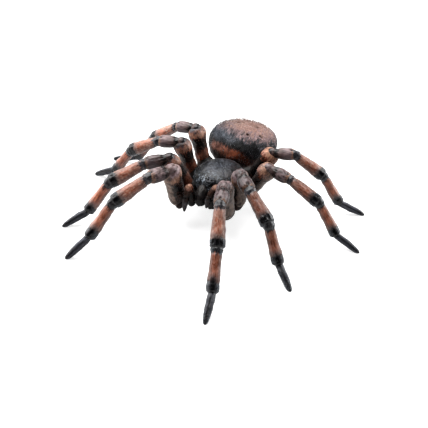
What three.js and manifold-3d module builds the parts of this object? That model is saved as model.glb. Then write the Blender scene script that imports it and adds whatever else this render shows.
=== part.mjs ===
// A free-standing tarantula specimen, set up on its eight feet.
// Millimetres, +Z up. The head looks along -Y and the animal's left side is +X.
// The animal is modelled about the middle of its leg ring, on the floor,
// and the finished group is then centred over the middle of its footprint.
import * as THREE from "three";
import { mergeVertices } from "three/addons/utils/BufferGeometryUtils.js";
import Module from "manifold-3d";

const wasm = await Module();
wasm.setup();

// Clearances and resolution
const SKIN_GAP = 0.3; // soft skin between two hard segments
const LEG_SIDES = 8;
const COXA_SIDES = 7;
const MOUTH_SIDES = 6;
const BODY_AROUND = 24;
const BODY_RINGS = 12;
const ROOM_AROUND = 12; // the clearance round the head shield can be coarse
const ROOM_RINGS = 8;
const ROOM_GAP = 0.6;

// Legs
const FOOT_HEIGHT = 0.6; // middle of the foot's tip above the floor, which flattens its sole
const COXA_DEPTH = 1.25; // a coxa is deeper than it is wide

// Profiles run along a segment: share of its length, then half width.
const LEG_SEGMENTS = [
  {
    name: "femur",
    length: 17.3,
    finish: "dark_brown",
    profile: [[-0.14, 0], [-0.07, 2.3], [0.12, 3.5], [0.66, 3.4], [0.85, 3.8], [1.02, 2.9], [1.07, 0]],
  },
  {
    name: "patella",
    length: 9.9,
    finish: "grey_brown",
    profile: [[-0.18, 0], [-0.11, 1.6], [0.07, 2.6], [0.3, 3.0], [0.76, 3.05], [1.0, 2.4], [1.04, 0]],
  },
  {
    name: "tibia",
    length: 15.5,
    finish: "orange_brown",
    profile: [[-0.1, 0], [-0.07, 1.2], [0.04, 2.15], [0.5, 2.55], [0.86, 3.05], [1.0, 2.55], [1.03, 0]],
  },
  {
    name: "metatarsus",
    length: 16.2,
    finish: "orange_brown",
    profile: [[-0.09, 0], [-0.06, 1.15], [0.06, 2.2], [0.45, 1.9], [0.88, 2.6], [0.99, 2.15], [1.02, 0]],
  },
  {
    name: "tarsus",
    length: 11.1,
    finish: "black",
    profile: [[-0.09, 0], [-0.06, 0.85], [0.05, 1.4], [0.45, 1.6], [0.99, 1.12], [1.08, 0.5], [1.1, 0]],
  },
];
const KNOB_START = 0.8; // share of a femur where the knob of its knee starts
const COXA_PROFILE = [[0, 0], [0.02, 2.2], [0.7, 3.1], [0.98, 3.6], [1.2, 3.0], [1.25, 0]];
const COXA_ROOT_HEIGHT = 11.6;

// Leg pairs from the front: length and girth against the middle of the set, then the femur's own girth,
// its depth against that and how much its knob swells. The coxa starts at its root, sideways and forward.
const LEG_PAIRS = [
  { scale: 1.08, girth: 1.02, femur: { girth: 0.92, depth: 1.25, knob: 1.05 }, coxaRoot: [5.8, 8.6] },
  { scale: 1.02, girth: 1.0, femur: { girth: 0.92, depth: 1.05, knob: 1.05 }, coxaRoot: [3.6, 3.0] },
  { scale: 0.96, girth: 0.9, femur: { girth: 0.82, depth: 1, knob: 1.25 }, coxaRoot: [3.6, -2.9] },
  { scale: 0.95, girth: 0.88, femur: { girth: 0.84, depth: 1, knob: 1.2 }, coxaRoot: [3.6, -8.8] },
];

// Stance of each leg: the hip where its femur starts (sideways, forward, up), and then in degrees,
// from the femur outwards, the swing forward of straight sideways and the rise.
// The tarsus has no rise of its own, because it always reaches down to the floor.
const STANCE = {
  left: [
    { hip: [9.7, 13.6, 10.5], swing: [76, 77, 72, 75, 81], rise: [68, -1, -41, -38] },
    { hip: [11.4, 5.2, 10.5], swing: [62, 47, 37, 36, 44], rise: [74, -3, -27, -61] },
    { hip: [13.4, -4.5, 10.8], swing: [17, 8, 11, 11, 9], rise: [59, -10, -23, -55] },
    { hip: [10.6, -12.6, 11.6], swing: [4, -6, -13, -14, -8], rise: [58, 7, -37, -60] },
  ],
  right: [
    { hip: [12.1, 13.3, 10.5], swing: [86, 59, 43, 53, 44], rise: [74, 4, -29, -48] },
    { hip: [11.0, 5.0, 10.5], swing: [31, 33, 37, 36, 42], rise: [64, -7, -24.5, -53] },
    { hip: [13.2, -4.5, 10.8], swing: [18, 14, 1, -6, 0], rise: [74, -2, -32, -57] },
    { hip: [11.4, -12.6, 11.6], swing: [-16, -9, -6, 2, 8], rise: [74.5, -14, -38, -56] },
  ],
};

// Head shield with the breast plate below it
const SHIELD = { halfWidth: 10.4, halfLength: 11.8, back: 1.5, height: 14.3, dome: 6.2, belly: 4.6 };
const EYE_MOUND = { forward: 7.6, height: 19.6, radius: 1.9 };

// Abdomen
const ABDOMEN = { halfWidth: 14.6, halfLength: 15.6, top: 6.4, bottom: 9.8 };
const ABDOMEN_PLACE = { side: -1.2, back: 30.2, height: 14.4 };
const ABDOMEN_SLOPE = 0.36; // how much lower its back is behind than in front
const ABDOMEN_SWELL = 0.08; // how much broader it is behind than in front
const DIMPLES = { radius: 1.4, sink: 1.1, places: [[4.4, 6.5], [-4.4, 6.5], [3.7, -2.7], [8.7, 0.5]] };
const SPINNERET = { length: 5, radius: 1.0, side: 1.9, drop: 5.5 };
const WAIST = { radius: 2.2, from: 10.5, to: 18, height: 11.8 };

// Mouthparts
const CHELICERA = { side: 2.65, root: [-7.2, 15.6], tip: [-14.2, 11.4], halfWidth: 2.35, depth: 1.25 };
const FANG = { radius: 0.85, reach: 5.2 };
const PALPS = {
  left: [[6, -13, 9.8], [5.6, -14.2, 21.2], [3.4, -17.2, 18.8], [2.8, -18.6, 14.2]],
  right: [[-6, -13, 9.8], [-6.2, -14.8, 20], [-6.8, -17, 15.8], [-7, -18.4, 9.4]],
}; // root, knee, wrist and tip
const PALP_RADII = [2.3, 1.4, 1.25, 0.6];

const FINISHES = {
  black: { color: 0x1d1e22, roughness: 0.5 },
  slate: { color: 0x2b2e35, roughness: 0.55 },
  dark_brown: { color: 0x3b2a24, roughness: 0.65 },
  grey_brown: { color: 0x5d4c48, roughness: 0.65 },
  orange_brown: { color: 0x8a5140, roughness: 0.65 },
  rose_brown: { color: 0x7d5a4f, roughness: 0.7 },
};

function finishOf(name) {
  return new THREE.MeshStandardMaterial({ ...FINISHES[name], metalness: 0 });
}

// Solids and meshes

function toSolid(geometry, matrix = new THREE.Matrix4()) {
  const bare = geometry.clone().applyMatrix4(matrix);
  bare.deleteAttribute("normal");
  bare.deleteAttribute("uv");
  const merged = mergeVertices(bare, 1e-4);
  return new wasm.Manifold(
    new wasm.Mesh({
      numProp: 3,
      vertProperties: new Float32Array(merged.attributes.position.array),
      triVerts: new Uint32Array(merged.index.array),
    }),
  );
}

function toMesh(name, solid, finish) {
  const made = solid.getMesh();
  const geometry = new THREE.BufferGeometry();
  geometry.setAttribute("position", new THREE.BufferAttribute(made.vertProperties, 3));
  geometry.setIndex(new THREE.BufferAttribute(made.triVerts, 1));
  geometry.computeVertexNormals();
  const mesh = new THREE.Mesh(geometry, finishOf(finish));
  mesh.name = name;
  return mesh;
}

// A turned body along +X, flattened or deepened across Z, and swollen all round by `grow`.
function turned(stations, sides, depth = 1, grow = 0) {
  const last = stations.length - 1;
  const points = stations.map(([along, radius], i) => {
    const end = i === 0 ? -grow : i === last ? grow : 0;
    return new THREE.Vector2(radius > 0 ? radius + grow : 0, along + end);
  });
  return new THREE.LatheGeometry(points, sides).rotateZ(-Math.PI / 2).scale(1, 1, depth);
}

// A frame at `from` whose X axis points at `to` and whose Y axis lies level.
function aimed(from, to) {
  const along = new THREE.Vector3().subVectors(to, from).normalize();
  const across = new THREE.Vector3(0, 0, 1).cross(along).normalize();
  const over = new THREE.Vector3().crossVectors(along, across);
  return new THREE.Matrix4().makeBasis(along, across, over).setPosition(from);
}

// A round ball whose every point is moved by `shape`, with its poles on the Z axis.
function shapedBall(shape, around = BODY_AROUND, rings = BODY_RINGS) {
  const ball = new THREE.SphereGeometry(1, around, rings).rotateX(Math.PI / 2);
  const place = ball.getAttribute("position");
  const point = new THREE.Vector3();
  for (let i = 0; i < place.count; i++) {
    shape(point.fromBufferAttribute(place, i));
    place.setXYZ(i, point.x, point.y, point.z);
  }
  return ball;
}

// Head shield: a low oval dome, narrower and blunter in front, with a furrow and an eye mound.

function shieldDome(around, rings, grow = 0) {
  return shapedBall(
    (p) => {
      const front = Math.max(0, -p.y);
      const narrow = 1 - 0.2 * front * front;
      const furrow = Math.exp(-((p.x / 0.16) ** 2) - ((p.y - 0.25) / 0.3) ** 2);
      const blunt = p.z > 0 ? p.z ** 0.8 * (1 + 0.12 * front) - 0.1 * furrow : p.z;
      p.x *= (SHIELD.halfWidth + grow) * narrow;
      p.y = SHIELD.back + p.y * (SHIELD.halfLength + grow);
      p.z = SHIELD.height + blunt * ((p.z > 0 ? SHIELD.dome : SHIELD.belly) + grow);
    },
    around,
    rings,
  );
}

function headShield() {
  const mound = new THREE.SphereGeometry(EYE_MOUND.radius, 8, 6).scale(1.25, 1, 0.7);
  mound.translate(0, -EYE_MOUND.forward, EYE_MOUND.height);
  return toSolid(shieldDome(BODY_AROUND, BODY_RINGS)).add(toSolid(mound));
}

// Abdomen: a broad egg, lower behind, with dimples on its back and two short spinnerets.

function abdomenPoint(side, back, up) {
  const swell = 1 + ABDOMEN_SWELL * back;
  const half = up > 0 ? ABDOMEN.top * (1 - ABDOMEN_SLOPE * back) : ABDOMEN.bottom * swell;
  return new THREE.Vector3(
    ABDOMEN_PLACE.side + side * ABDOMEN.halfWidth * swell,
    ABDOMEN_PLACE.back + back * ABDOMEN.halfLength,
    ABDOMEN_PLACE.height + up * half,
  );
}

function abdomen() {
  const egg = shapedBall((p) => p.copy(abdomenPoint(p.x, p.y, p.z)));
  let solid = toSolid(egg);
  for (const [sideways, behind] of DIMPLES.places) {
    const side = sideways / ABDOMEN.halfWidth;
    const back = behind / ABDOMEN.halfLength;
    const top = abdomenPoint(side, back, Math.sqrt(1 - side * side - back * back));
    const pit = new THREE.SphereGeometry(DIMPLES.radius, 7, 5);
    pit.translate(top.x, top.y, top.z + DIMPLES.radius - DIMPLES.sink);
    solid = solid.subtract(toSolid(pit));
  }
  for (const hand of [1, -1]) {
    const { length, radius } = SPINNERET;
    const side = (hand * SPINNERET.side) / ABDOMEN.halfWidth;
    const root = abdomenPoint(side, 0.8, -SPINNERET.drop / ABDOMEN.bottom);
    const tip = root.clone().add(new THREE.Vector3(hand * 0.8, length, -1));
    const stations = [[0, 0], [0.1, radius], [length / 2, radius], [length, 0.45], [length + 0.3, 0]];
    solid = solid.add(toSolid(turned(stations, MOUTH_SIDES), aimed(root, tip)));
  }
  return solid;
}

function waist(grow = 0) {
  const from = new THREE.Vector3(0, WAIST.from, WAIST.height);
  const to = new THREE.Vector3(0, WAIST.to, WAIST.height);
  const length = WAIST.to - WAIST.from;
  const stations = [[0, 0], [0.2, WAIST.radius], [length - 0.2, WAIST.radius], [length, 0]];
  return toSolid(turned(stations, LEG_SIDES, 1, grow), aimed(from, to));
}

// Mouthparts

function cheliceraFrame(hand) {
  const [rootY, rootZ] = CHELICERA.root;
  const [tipY, tipZ] = CHELICERA.tip;
  const root = new THREE.Vector3(hand * CHELICERA.side, rootY, rootZ);
  const tip = new THREE.Vector3(hand * (CHELICERA.side - 0.25), tipY, tipZ);
  return { matrix: aimed(root, tip), length: root.distanceTo(tip), tip };
}

function chelicera(hand, grow = 0) {
  const { matrix, length } = cheliceraFrame(hand);
  const r = CHELICERA.halfWidth;
  const shape = [[0, 0], [0.04, 0.8], [0.35, 1], [0.75, 0.95], [0.98, 0.6], [1.05, 0]];
  const stations = shape.map(([share, part]) => [share * length, part * r]);
  return toSolid(turned(stations, LEG_SIDES, CHELICERA.depth, grow), matrix);
}

function fang(hand, grow = 0) {
  const { tip } = cheliceraFrame(hand);
  const root = tip.clone().add(new THREE.Vector3(0, 0.6, -0.4));
  const point = root.clone().add(new THREE.Vector3(0, 4.2, -1.6));
  const r = FANG.radius;
  const end = FANG.reach;
  const stations = [[-1.2, 0], [-0.9, r * 0.9], [1.2, r], [3.4, r * 0.55], [end, 0.12], [end + 0.1, 0]];
  return toSolid(turned(stations, MOUTH_SIDES, 1, grow), aimed(root, point));
}

function palpLimb(from, to, startRadius, endRadius) {
  const length = from.distanceTo(to);
  const middle = 1.08 * Math.max(startRadius, endRadius);
  const stations = [
    [-0.8 * startRadius, 0],
    [0, startRadius],
    [length * 0.45, middle],
    [length, endRadius],
    [length + 0.8 * endRadius, 0],
  ];
  return toSolid(turned(stations, MOUTH_SIDES), aimed(from, to));
}

function pedipalp(side) {
  const points = PALPS[side].map((place) => new THREE.Vector3(...place));
  const radii = PALP_RADII;
  const limbs = [0, 1, 2].map((i) => palpLimb(points[i], points[i + 1], radii[i], radii[i + 1]));
  return limbs.reduce((whole, limb) => whole.add(limb));
}

// Legs: nested groups, one for each joint, each with its own segment along its X axis.

function directionOf(side, swing, rise) {
  const heading = side === "left" ? -swing : 180 + swing;
  const { degToRad } = THREE.MathUtils;
  const euler = new THREE.Euler(0, degToRad(-rise), degToRad(heading), "ZYX");
  return new THREE.Quaternion().setFromEuler(euler);
}

function hipOf(side, number) {
  const [sideways, forward, up] = STANCE[side][number].hip;
  return new THREE.Vector3(side === "left" ? sideways : -sideways, -forward, up);
}

function coxaSolid(side, number, grow = 0) {
  const [sideways, forward] = LEG_PAIRS[number].coxaRoot;
  const root = new THREE.Vector3(side === "left" ? sideways : -sideways, -forward, COXA_ROOT_HEIGHT);
  const hip = hipOf(side, number);
  const length = root.distanceTo(hip);
  const stations = COXA_PROFILE.map(([share, halfWidth]) => [share * length, halfWidth]);
  return toSolid(turned(stations, COXA_SIDES, COXA_DEPTH, grow), aimed(root, hip));
}

// The frames of one leg's joints in the animal's frame, from the hip outwards.
// Each has its X axis along the segment that starts there.
function legJoints(side, number) {
  const { scale } = LEG_PAIRS[number];
  const { swing, rise } = STANCE[side][number];
  const place = hipOf(side, number);
  return LEG_SEGMENTS.map((segment, i) => {
    const length = segment.length * scale;
    const toFloor = THREE.MathUtils.radToDeg(Math.asin((FOOT_HEIGHT - place.z) / length));
    const turn = directionOf(side, swing[i], rise[i] ?? toFloor);
    const frame = new THREE.Matrix4().makeRotationFromQuaternion(turn).setPosition(place);
    place.add(new THREE.Vector3(length, 0, 0).applyQuaternion(turn));
    return frame;
  });
}

// One leg segment, swollen by `grow`, in its own frame.
function segmentSolid(number, i, grow = 0) {
  const segment = LEG_SEGMENTS[i];
  const pair = LEG_PAIRS[number];
  const length = segment.length * pair.scale;
  const thigh = segment.name === "femur";
  const { girth, depth, knob } = thigh ? pair.femur : { girth: pair.girth, depth: 1, knob: 1 };
  const stations = segment.profile.map(([share, halfWidth]) => {
    const swell = share > KNOB_START ? knob : 1;
    return [share * length, halfWidth * girth * swell];
  });
  return toSolid(turned(stations, LEG_SIDES, depth, grow));
}

function femurRoom(side, number) {
  const [hip] = legJoints(side, number);
  return segmentSolid(number, 0, SKIN_GAP).transform(hip.toArray());
}

function addLeg(animal, side, number, shieldRoom) {
  const legName = `leg_${side}_${number + 1}`;
  const joints = legJoints(side, number);
  const coxa = coxaSolid(side, number).subtract(femurRoom(side, number)).subtract(shieldRoom);
  animal.add(toMesh(`${legName}_coxa`, coxa, "dark_brown"));

  const floor = toSolid(new THREE.BoxGeometry(400, 400, 40).translate(0, 0, -20));
  let parent = animal;
  let parentInverse = new THREE.Matrix4();
  LEG_SEGMENTS.forEach((segment, i) => {
    const inverse = joints[i].clone().invert();
    const joint = new THREE.Group();
    parentInverse.multiply(joints[i]).decompose(joint.position, joint.quaternion, joint.scale);
    const outermost = i === LEG_SEGMENTS.length - 1;
    const nextRoom = () => segmentSolid(number, i + 1, SKIN_GAP).transform(joints[i + 1].toArray());
    const beyond = outermost ? floor : nextRoom();
    const solid = segmentSolid(number, i).subtract(beyond.transform(inverse.toArray()));
    joint.add(toMesh(`${legName}_${segment.name}`, solid, segment.finish));
    parent.add(joint);
    parent = joint;
    parentInverse = inverse;
  });
}

// The whole animal

function tarantula() {
  const animal = new THREE.Group();
  const shield = headShield();
  const shieldRoom = toSolid(shieldDome(ROOM_AROUND, ROOM_RINGS, ROOM_GAP));
  const waistRoom = waist(SKIN_GAP);
  animal.add(toMesh("cephalothorax", shield.subtract(waistRoom), "slate"));
  animal.add(toMesh("waist", waist(), "black"));
  animal.add(toMesh("abdomen", abdomen().subtract(waistRoom), "rose_brown"));

  for (const [side, hand] of [["left", 1], ["right", -1]]) {
    const jaw = chelicera(hand).subtract(shieldRoom).subtract(fang(hand, SKIN_GAP));
    animal.add(toMesh(`chelicera_${side}`, jaw, "black"));
    animal.add(toMesh(`fang_${side}`, fang(hand), "black"));
    const jawRoom = chelicera(hand, SKIN_GAP);
    const legRoom = coxaSolid(side, 0, SKIN_GAP).add(femurRoom(side, 0));
    const palp = pedipalp(side).subtract(shieldRoom).subtract(jawRoom).subtract(legRoom);
    animal.add(toMesh(`pedipalp_${side}`, palp, "grey_brown"));
    LEG_PAIRS.forEach((pair, number) => addLeg(animal, side, number, shieldRoom));
  }

  const box = new THREE.Box3().setFromObject(animal, true);
  const centre = box.getCenter(new THREE.Vector3());
  animal.position.set(-centre.x, -centre.y, -box.min.z);
  return animal;
}

export default tarantula();
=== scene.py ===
"""Looks of a free-standing tarantula specimen: moulded segments with a satin, hand-painted finish.

The animal is described in millimetres in its own frame: the middle of its leg ring on the floor,
the head along -Y and its left side +X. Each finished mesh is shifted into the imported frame, in metres.
"""

import itertools
import math

import bpy
import numpy as np
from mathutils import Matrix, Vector


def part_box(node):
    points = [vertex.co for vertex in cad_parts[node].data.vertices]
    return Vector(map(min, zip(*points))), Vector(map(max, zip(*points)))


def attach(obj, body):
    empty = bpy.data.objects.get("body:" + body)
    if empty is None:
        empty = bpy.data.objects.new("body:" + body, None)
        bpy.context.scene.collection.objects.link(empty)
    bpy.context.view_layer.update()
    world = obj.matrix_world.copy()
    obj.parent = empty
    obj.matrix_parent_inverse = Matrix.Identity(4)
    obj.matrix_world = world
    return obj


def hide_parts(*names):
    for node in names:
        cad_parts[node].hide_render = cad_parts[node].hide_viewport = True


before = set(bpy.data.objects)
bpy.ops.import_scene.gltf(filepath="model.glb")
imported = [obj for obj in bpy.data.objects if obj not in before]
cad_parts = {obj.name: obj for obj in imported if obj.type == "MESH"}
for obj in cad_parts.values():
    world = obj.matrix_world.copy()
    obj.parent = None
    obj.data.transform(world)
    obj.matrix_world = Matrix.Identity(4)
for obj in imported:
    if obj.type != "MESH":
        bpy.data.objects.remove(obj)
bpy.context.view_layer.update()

MM = 0.001

# Resolution of the meshes: millimetres between rows, columns round a limb, rows and columns of a ball
ROW_STEP = 0.3
AROUND = 64
FEWER_AROUND = 24
PALP_AROUND = 40
FANG_STEP = 0.2
CORNER_CUTS = 4
BODY_ROWS = 130
BODY_AROUND = 176
MOUND_GRID = (24, 36)
EYE_GRID = (10, 16)

# First seeds of the random draws; each leg takes one for its coxa and one for each segment
LEG_SEED = 100
LEG_SEED_STEP = 40
LEFT_SEED = 20
WAIST_SEED = 700
JAW_SEED = 710
FANG_SEED = 720
PALP_SEED = 730
PALP_SEED_STEP = 5
ABDOMEN_SEED = 900
SHIELD_SEED = 950

# Legs as in the solids, the metatarsus a little fuller: length, then profile as share of it and half width
LEG_SEGMENTS = {
    "femur": (17.3, [
        (-0.14, 0), (-0.08, 2.3), (0.08, 3.4), (0.3, 3.6), (0.6, 3.4), (0.85, 3.9), (0.98, 3.4),
        (1.05, 2.2), (1.08, 0),
    ]),
    "patella": (9.9, [
        (-0.24, 0), (-0.2, 2.0), (0.0, 2.6), (0.16, 2.0), (0.36, 2.8), (0.76, 2.95), (0.98, 2.5),
        (1.06, 0),
    ]),
    "tibia": (15.5, [
        (-0.14, 0), (-0.12, 1.6), (-0.02, 2.2), (0.5, 2.6), (0.86, 3.15), (1.02, 2.7), (1.05, 0),
    ]),
    "metatarsus": (16.2, [
        (-0.13, 0), (-0.11, 1.7), (-0.03, 2.3), (0.1, 2.2), (0.45, 2.1), (0.88, 2.65), (1.01, 2.2),
        (1.04, 0),
    ]),
    "tarsus": (11.1, [
        (-0.14, 0), (-0.12, 1.0), (0.0, 1.5), (0.45, 1.65), (0.99, 1.15), (1.09, 0.5), (1.11, 0),
    ]),
}
KNOB_START = 0.8  # share of a femur where the knob of its knee starts
FOOT_HEIGHT = 0.6
COXA_PROFILE = [(0, 0), (0.02, 2.2), (0.7, 3.1), (0.98, 3.6), (1.2, 3.0), (1.25, 0)]
COXA_ROOT_HEIGHT = 11.6
COXA_DEPTH = 1.25

# Leg pairs from the front: length and girth against the middle of the set, then the femur's own girth,
# its depth against that and how much its knob swells, and where the coxa starts
LEG_PAIRS = [
    {"scale": 1.08, "girth": 1.02, "femur": (0.92, 1.25, 1.05), "coxa_root": (5.8, 8.6)},
    {"scale": 1.02, "girth": 1.0, "femur": (0.92, 1.05, 1.05), "coxa_root": (3.6, 3.0)},
    {"scale": 0.96, "girth": 0.9, "femur": (0.82, 1, 1.25), "coxa_root": (3.6, -2.9)},
    {"scale": 0.95, "girth": 0.88, "femur": (0.84, 1, 1.2), "coxa_root": (3.6, -8.8)},
]

# Stance of each leg: hip (sideways, forward, up), then swing and rise in degrees from the femur outwards.
# The tarsus has no rise, because it ends at the height of the foot
STANCE = {
    "left": [
        ((9.7, 13.6, 10.5), (76, 77, 72, 75, 81), (68, -1, -41, -38)),
        ((11.4, 5.2, 10.5), (62, 47, 37, 36, 44), (74, -3, -27, -61)),
        ((13.4, -4.5, 10.8), (17, 8, 11, 11, 9), (59, -10, -23, -55)),
        ((10.6, -12.6, 11.6), (4, -6, -13, -14, -8), (58, 7, -37, -60)),
    ],
    "right": [
        ((12.1, 13.3, 10.5), (86, 59, 43, 53, 44), (74, 4, -29, -48)),
        ((11.0, 5.0, 10.5), (31, 33, 37, 36, 42), (64, -7, -24.5, -53)),
        ((13.2, -4.5, 10.8), (18, 14, 1, -6, 0), (74, -2, -32, -57)),
        ((11.4, -12.6, 11.6), (-16, -9, -6, 2, 8), (74.5, -14, -38, -56)),
    ],
}

# The segments whose black patches and grooves sit on their upper front
PATCHED = ("tibia", "metatarsus", "tarsus")
UPPER_FRONT = np.array([0.25, -0.7, 0.67])

# How light each leg's paint is, from the front pair to the rear one: partly the paint's own variety and
# partly painted light and shade. What is over 1 is a painted lit side that fades away from the upper front:
# this share of it is left at right angles to that way, and the share rises towards it
LEG_PAINTED_LIGHT = {
    "femur": {"left": (1.0, 1.0, 1.1, 1.35), "right": (2.2, 1.05, 1.45, 1.7)},
    "patella": {"left": (0.52, 0.42, 0.66, 0.78), "right": (0.8, 0.42, 0.85, 0.85)},
    "tibia": {"left": (1.12, 0.65, 0.78, 1.25), "right": (1.25, 1.35, 1.7, 2.3)},
    "metatarsus": {"left": (0.9, 1.27, 1.58, 1.95), "right": (1.8, 2.5, 2.5, 1.7)},
    "tarsus": {"left": (1.15, 0.9, 1.6, 2.7), "right": (2.4, 1.75, 1.05, 1.0)},
}
PAINTED_LIGHT_AT_FLANK = 0.45
PAINTED_LIGHT_RISE = 0.75

# Body as in the solids, apart from a rolled abdomen, widest a little lower, and a flatter eye mound
SHIELD = {"half_width": 10.4, "half_length": 11.8, "back": 1.5, "height": 14.3, "dome": 6.2, "belly": 4.6}
SHIELD_NARROWING = 0.2
SHIELD_BROW = 0.12
SHIELD_DROP = 0.15
SHIELD_BLUNTNESS = 0.8
FOVEA = {"behind": 0.25, "half_width": 0.16, "half_length": 0.3, "depth": 0.1}  # shares of the shield
FURROWS = 5  # radial furrows round the shield's dent
FURROW_DEPTH = 0.12
FURROW_WIDTH = 0.22
FURROW_START = 0.25
FURROW_FADE = 0.3
RELIEF_DROP = 3  # the shield's relief points away from a place this far under its widest line
STROKES_BEHIND = 3  # its hair strokes run away from a place this far behind its middle
SHIELD_STROKES = {"count": 900, "length": 1.3, "radius": 0.09, "pale": 0.85}
EYE_MOUND = {"forward": 7.6, "height": 19.4, "radius": 1.8}
EYE_MOUND_SHAPE = np.array([1.25, 1, 0.5])
EYE_SIZE = 0.8
EYE_SEAT = 0.9
EYES = [(0.75, 0.55, 0.62), (1.7, 0.1, 0.5), (1.2, -0.9, 0.45), (2.0, -0.7, 0.4)]  # side, forward, radius
ABDOMEN = {"half_width": 14.6, "half_length": 15.6, "top": 7.2, "bottom": 9.0}
ABDOMEN_PLACE = np.array([-1.2, 30.2, 13.6])
ABDOMEN_ROLL = 4.0
ABDOMEN_SLOPE = 0.32
ABDOMEN_SWELL = 0.08
DIMPLES = [(4.4, 6.5), (-4.4, 6.5), (3.7, -2.7), (8.7, 0.5)]
DIMPLE_RADIUS = 0.78
DIMPLE_DEPTH = 1.2
DIMPLE_PAINT = 1.7
ABDOMEN_STROKES = {"count": 2600, "length": 1.6, "radius": 0.08, "pale": 0.9}
STROKE_WAY = np.array([0, 0.8, 0.6])
STROKE_SCATTER = 0.25
SPINNERET = {"length": 5, "radius": 1.0, "tip": 0.45, "side": 1.9, "behind": 0.8, "drop": 5.5}
SPINNERET_SPLAY = (0.8, -1)
WAIST = {"radius": 2.2, "from": 10.5, "to": 18.0, "height": 11.8, "bevel": 0.2}

# Marks on the abdomen, as shares of its half sizes: side, back and up
ROSE_WAY = np.array([0.0, 0.6, 0.8])
ROSE_LEFT = {"from": 0.7, "rise": 0.3}
ROSE_RIGHT = {"to": 0.5, "drop": 0.12}
STRIPE = {"height": -0.2, "sag": 0.9, "half": 0.2, "middle": -0.05, "reach": 0.8, "fade": 0.15, "ahead": 0.3}
GREY_BLOOM = {"low": -0.08, "high": 0.7, "soft": 0.35, "left": 0.25, "fade": 0.8}

# Mouthparts as in the solids, apart from slightly blunter jaws and a higher knee of the left palp
CHELICERA = {"side": 2.65, "root": (-7.2, 15.6), "tip": (-14.2, 11.2), "half_width": 2.7, "depth": 1.35}
CHELICERA_PROFILE = [(0, 0), (0.04, 0.8), (0.35, 1), (0.75, 1), (0.98, 0.7), (1.06, 0)]
JAWS_CLOSING = 0.25
FANG = {"radius": 0.85, "reach": 5.2}
FANG_PROFILE = [(-1.2, 0), (-0.9, 0.9), (1.2, 1), (3.4, 0.55)]  # millimetres along it, share of its radius
FANG_TIP = 0.12
FANG_SEAT = np.array([0, 0.6, -0.4])
FANG_WAY = np.array([0, 4.2, -1.6])
PALPS = {
    "left": [(6, -13, 9.8), (5.3, -13.8, 22.2), (3.4, -17.2, 18.8), (2.8, -18.6, 14.2)],
    "right": [(-6, -13, 9.8), (-6.2, -14.8, 20), (-6.8, -17, 15.8), (-7, -18.4, 9.4)],
}
PALP_RADII = [1.9, 1.35, 1.2, 0.5]
PALP_SWELL = {"at": 0.45, "by": 1.08}
PALP_END = 0.8
# Painted light and shade of each palp: the left a little darker, the right lighter on its upper front
PALP_PAINTED_LIGHT = {"left": 0.9, "right": 1.35}

# The photograph's camera: it looks at a point on the floor, in the animal's frame
CAMERA_AZIMUTH = 22.85
CAMERA_ELEVATION = 38.0
CAMERA_DISTANCE = 520.0
LOOK_AT = np.array([0.2, -4.36, 0.0])
SENSOR_WIDTH = 36.0
CAMERA_LENS = 105.0
CAMERA_NEAREST = 0.01

# Studio, in metres: white paper under one large softbox, with two weak edge lights in a dim room
FLOOR_SIZE = 4.0
FLOOR_WHITE = 0.55
FLOOR_GLOW = 0.72
FLOOR_FADE = (0.4, 1.2)  # between these distances the paper blends into the backdrop
ROOM_LIGHT = 0.05
SOFTBOX_PLACE = (-0.28, 0.25, 0.75)
SOFTBOX_SIZE = 1.0
SOFTBOX_WATTS = 18
EDGE_LIGHTS = (((-0.66, 0.02, 0.22), 3.5), ((0.47, 0.5, 0.22), 5))
EDGE_SIZE = 0.6
EDGE_AIM = (0, 0, 0.01)

# Paints, as sRGB hex codes
BLACK = "030304"
SOOT = "0f0f12"
CHARCOAL = "1d1e23"
SLATE = "313238"
BLUE_GREY = "5a5f68"
GREY_BROWN = "594745"
PALE_HAIR_AND_SHEEN = "8d96a0"
MAUVE = "7a676a"
DARK_BROWN = "2a1a15"
RUST = "602f1c"
ORANGE = "7f4936"
CLAY = "805649"
TAN = "966f5b"
ROSE = "7a5e56"
DUST_AND_HIGHLIGHT = "c2a596"
BELLY_AND_BOUNCE_LIGHT = "8a7468"
NAP = "d0d1d4"
NAP_ROUGHNESS = 0.22
BRUSH_DEPTH = 0.00014
BRUSH_STRENGTH = 0.6

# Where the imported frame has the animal's origin, found from the waist
waist_low, waist_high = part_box("waist")
WAIST_MIDDLE = np.array([0, (WAIST["from"] + WAIST["to"]) / 2, WAIST["height"]])
SHIFT = np.array((waist_low + waist_high) / 2) / MM - WAIST_MIDDLE


# Noise


def lattice(cells, seed):
    """A fixed random number from -1 to 1 for each whole-number cell."""
    cells = cells.astype(np.uint64)
    hashed = cells @ np.array([374761393, 668265263, 2246822519], np.uint64) + np.uint64(seed * 3266489917)
    hashed = (hashed ^ (hashed >> np.uint64(15))) * np.uint64(2654435761)
    hashed = hashed ^ (hashed >> np.uint64(13))
    return (hashed & np.uint64(0xFFFF)).astype(float) / 32767.5 - 1


def smooth_noise(points, seed):
    """Noise from -1 to 1 that changes over about one unit."""
    base = np.floor(points).astype(np.int64)
    part = points - base
    part = part * part * (3 - 2 * part)
    total = np.zeros(len(points))
    for corner in itertools.product((0, 1), repeat=3):
        weight = np.where(corner, part, 1 - part).prod(axis=1)
        total += weight * lattice(base + corner, seed)
    return total


def hair_relief(points, seed):
    """Height in millimetres of moulded hair strokes that run along X, over soft lumps."""
    strokes = smooth_noise(points * [0.42, 1.7, 1.7], seed)
    fine = smooth_noise(points * [0.8, 3.2, 3.2], seed + 1)
    lumps = smooth_noise(points * 0.5, seed + 2)
    return 0.07 * (1 - 2 * np.abs(strokes)) + 0.04 * fine + 0.15 * lumps


# Meshes

FULL_RELIEF_RADIUS = 1.2  # a thinner limb has less relief


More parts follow.
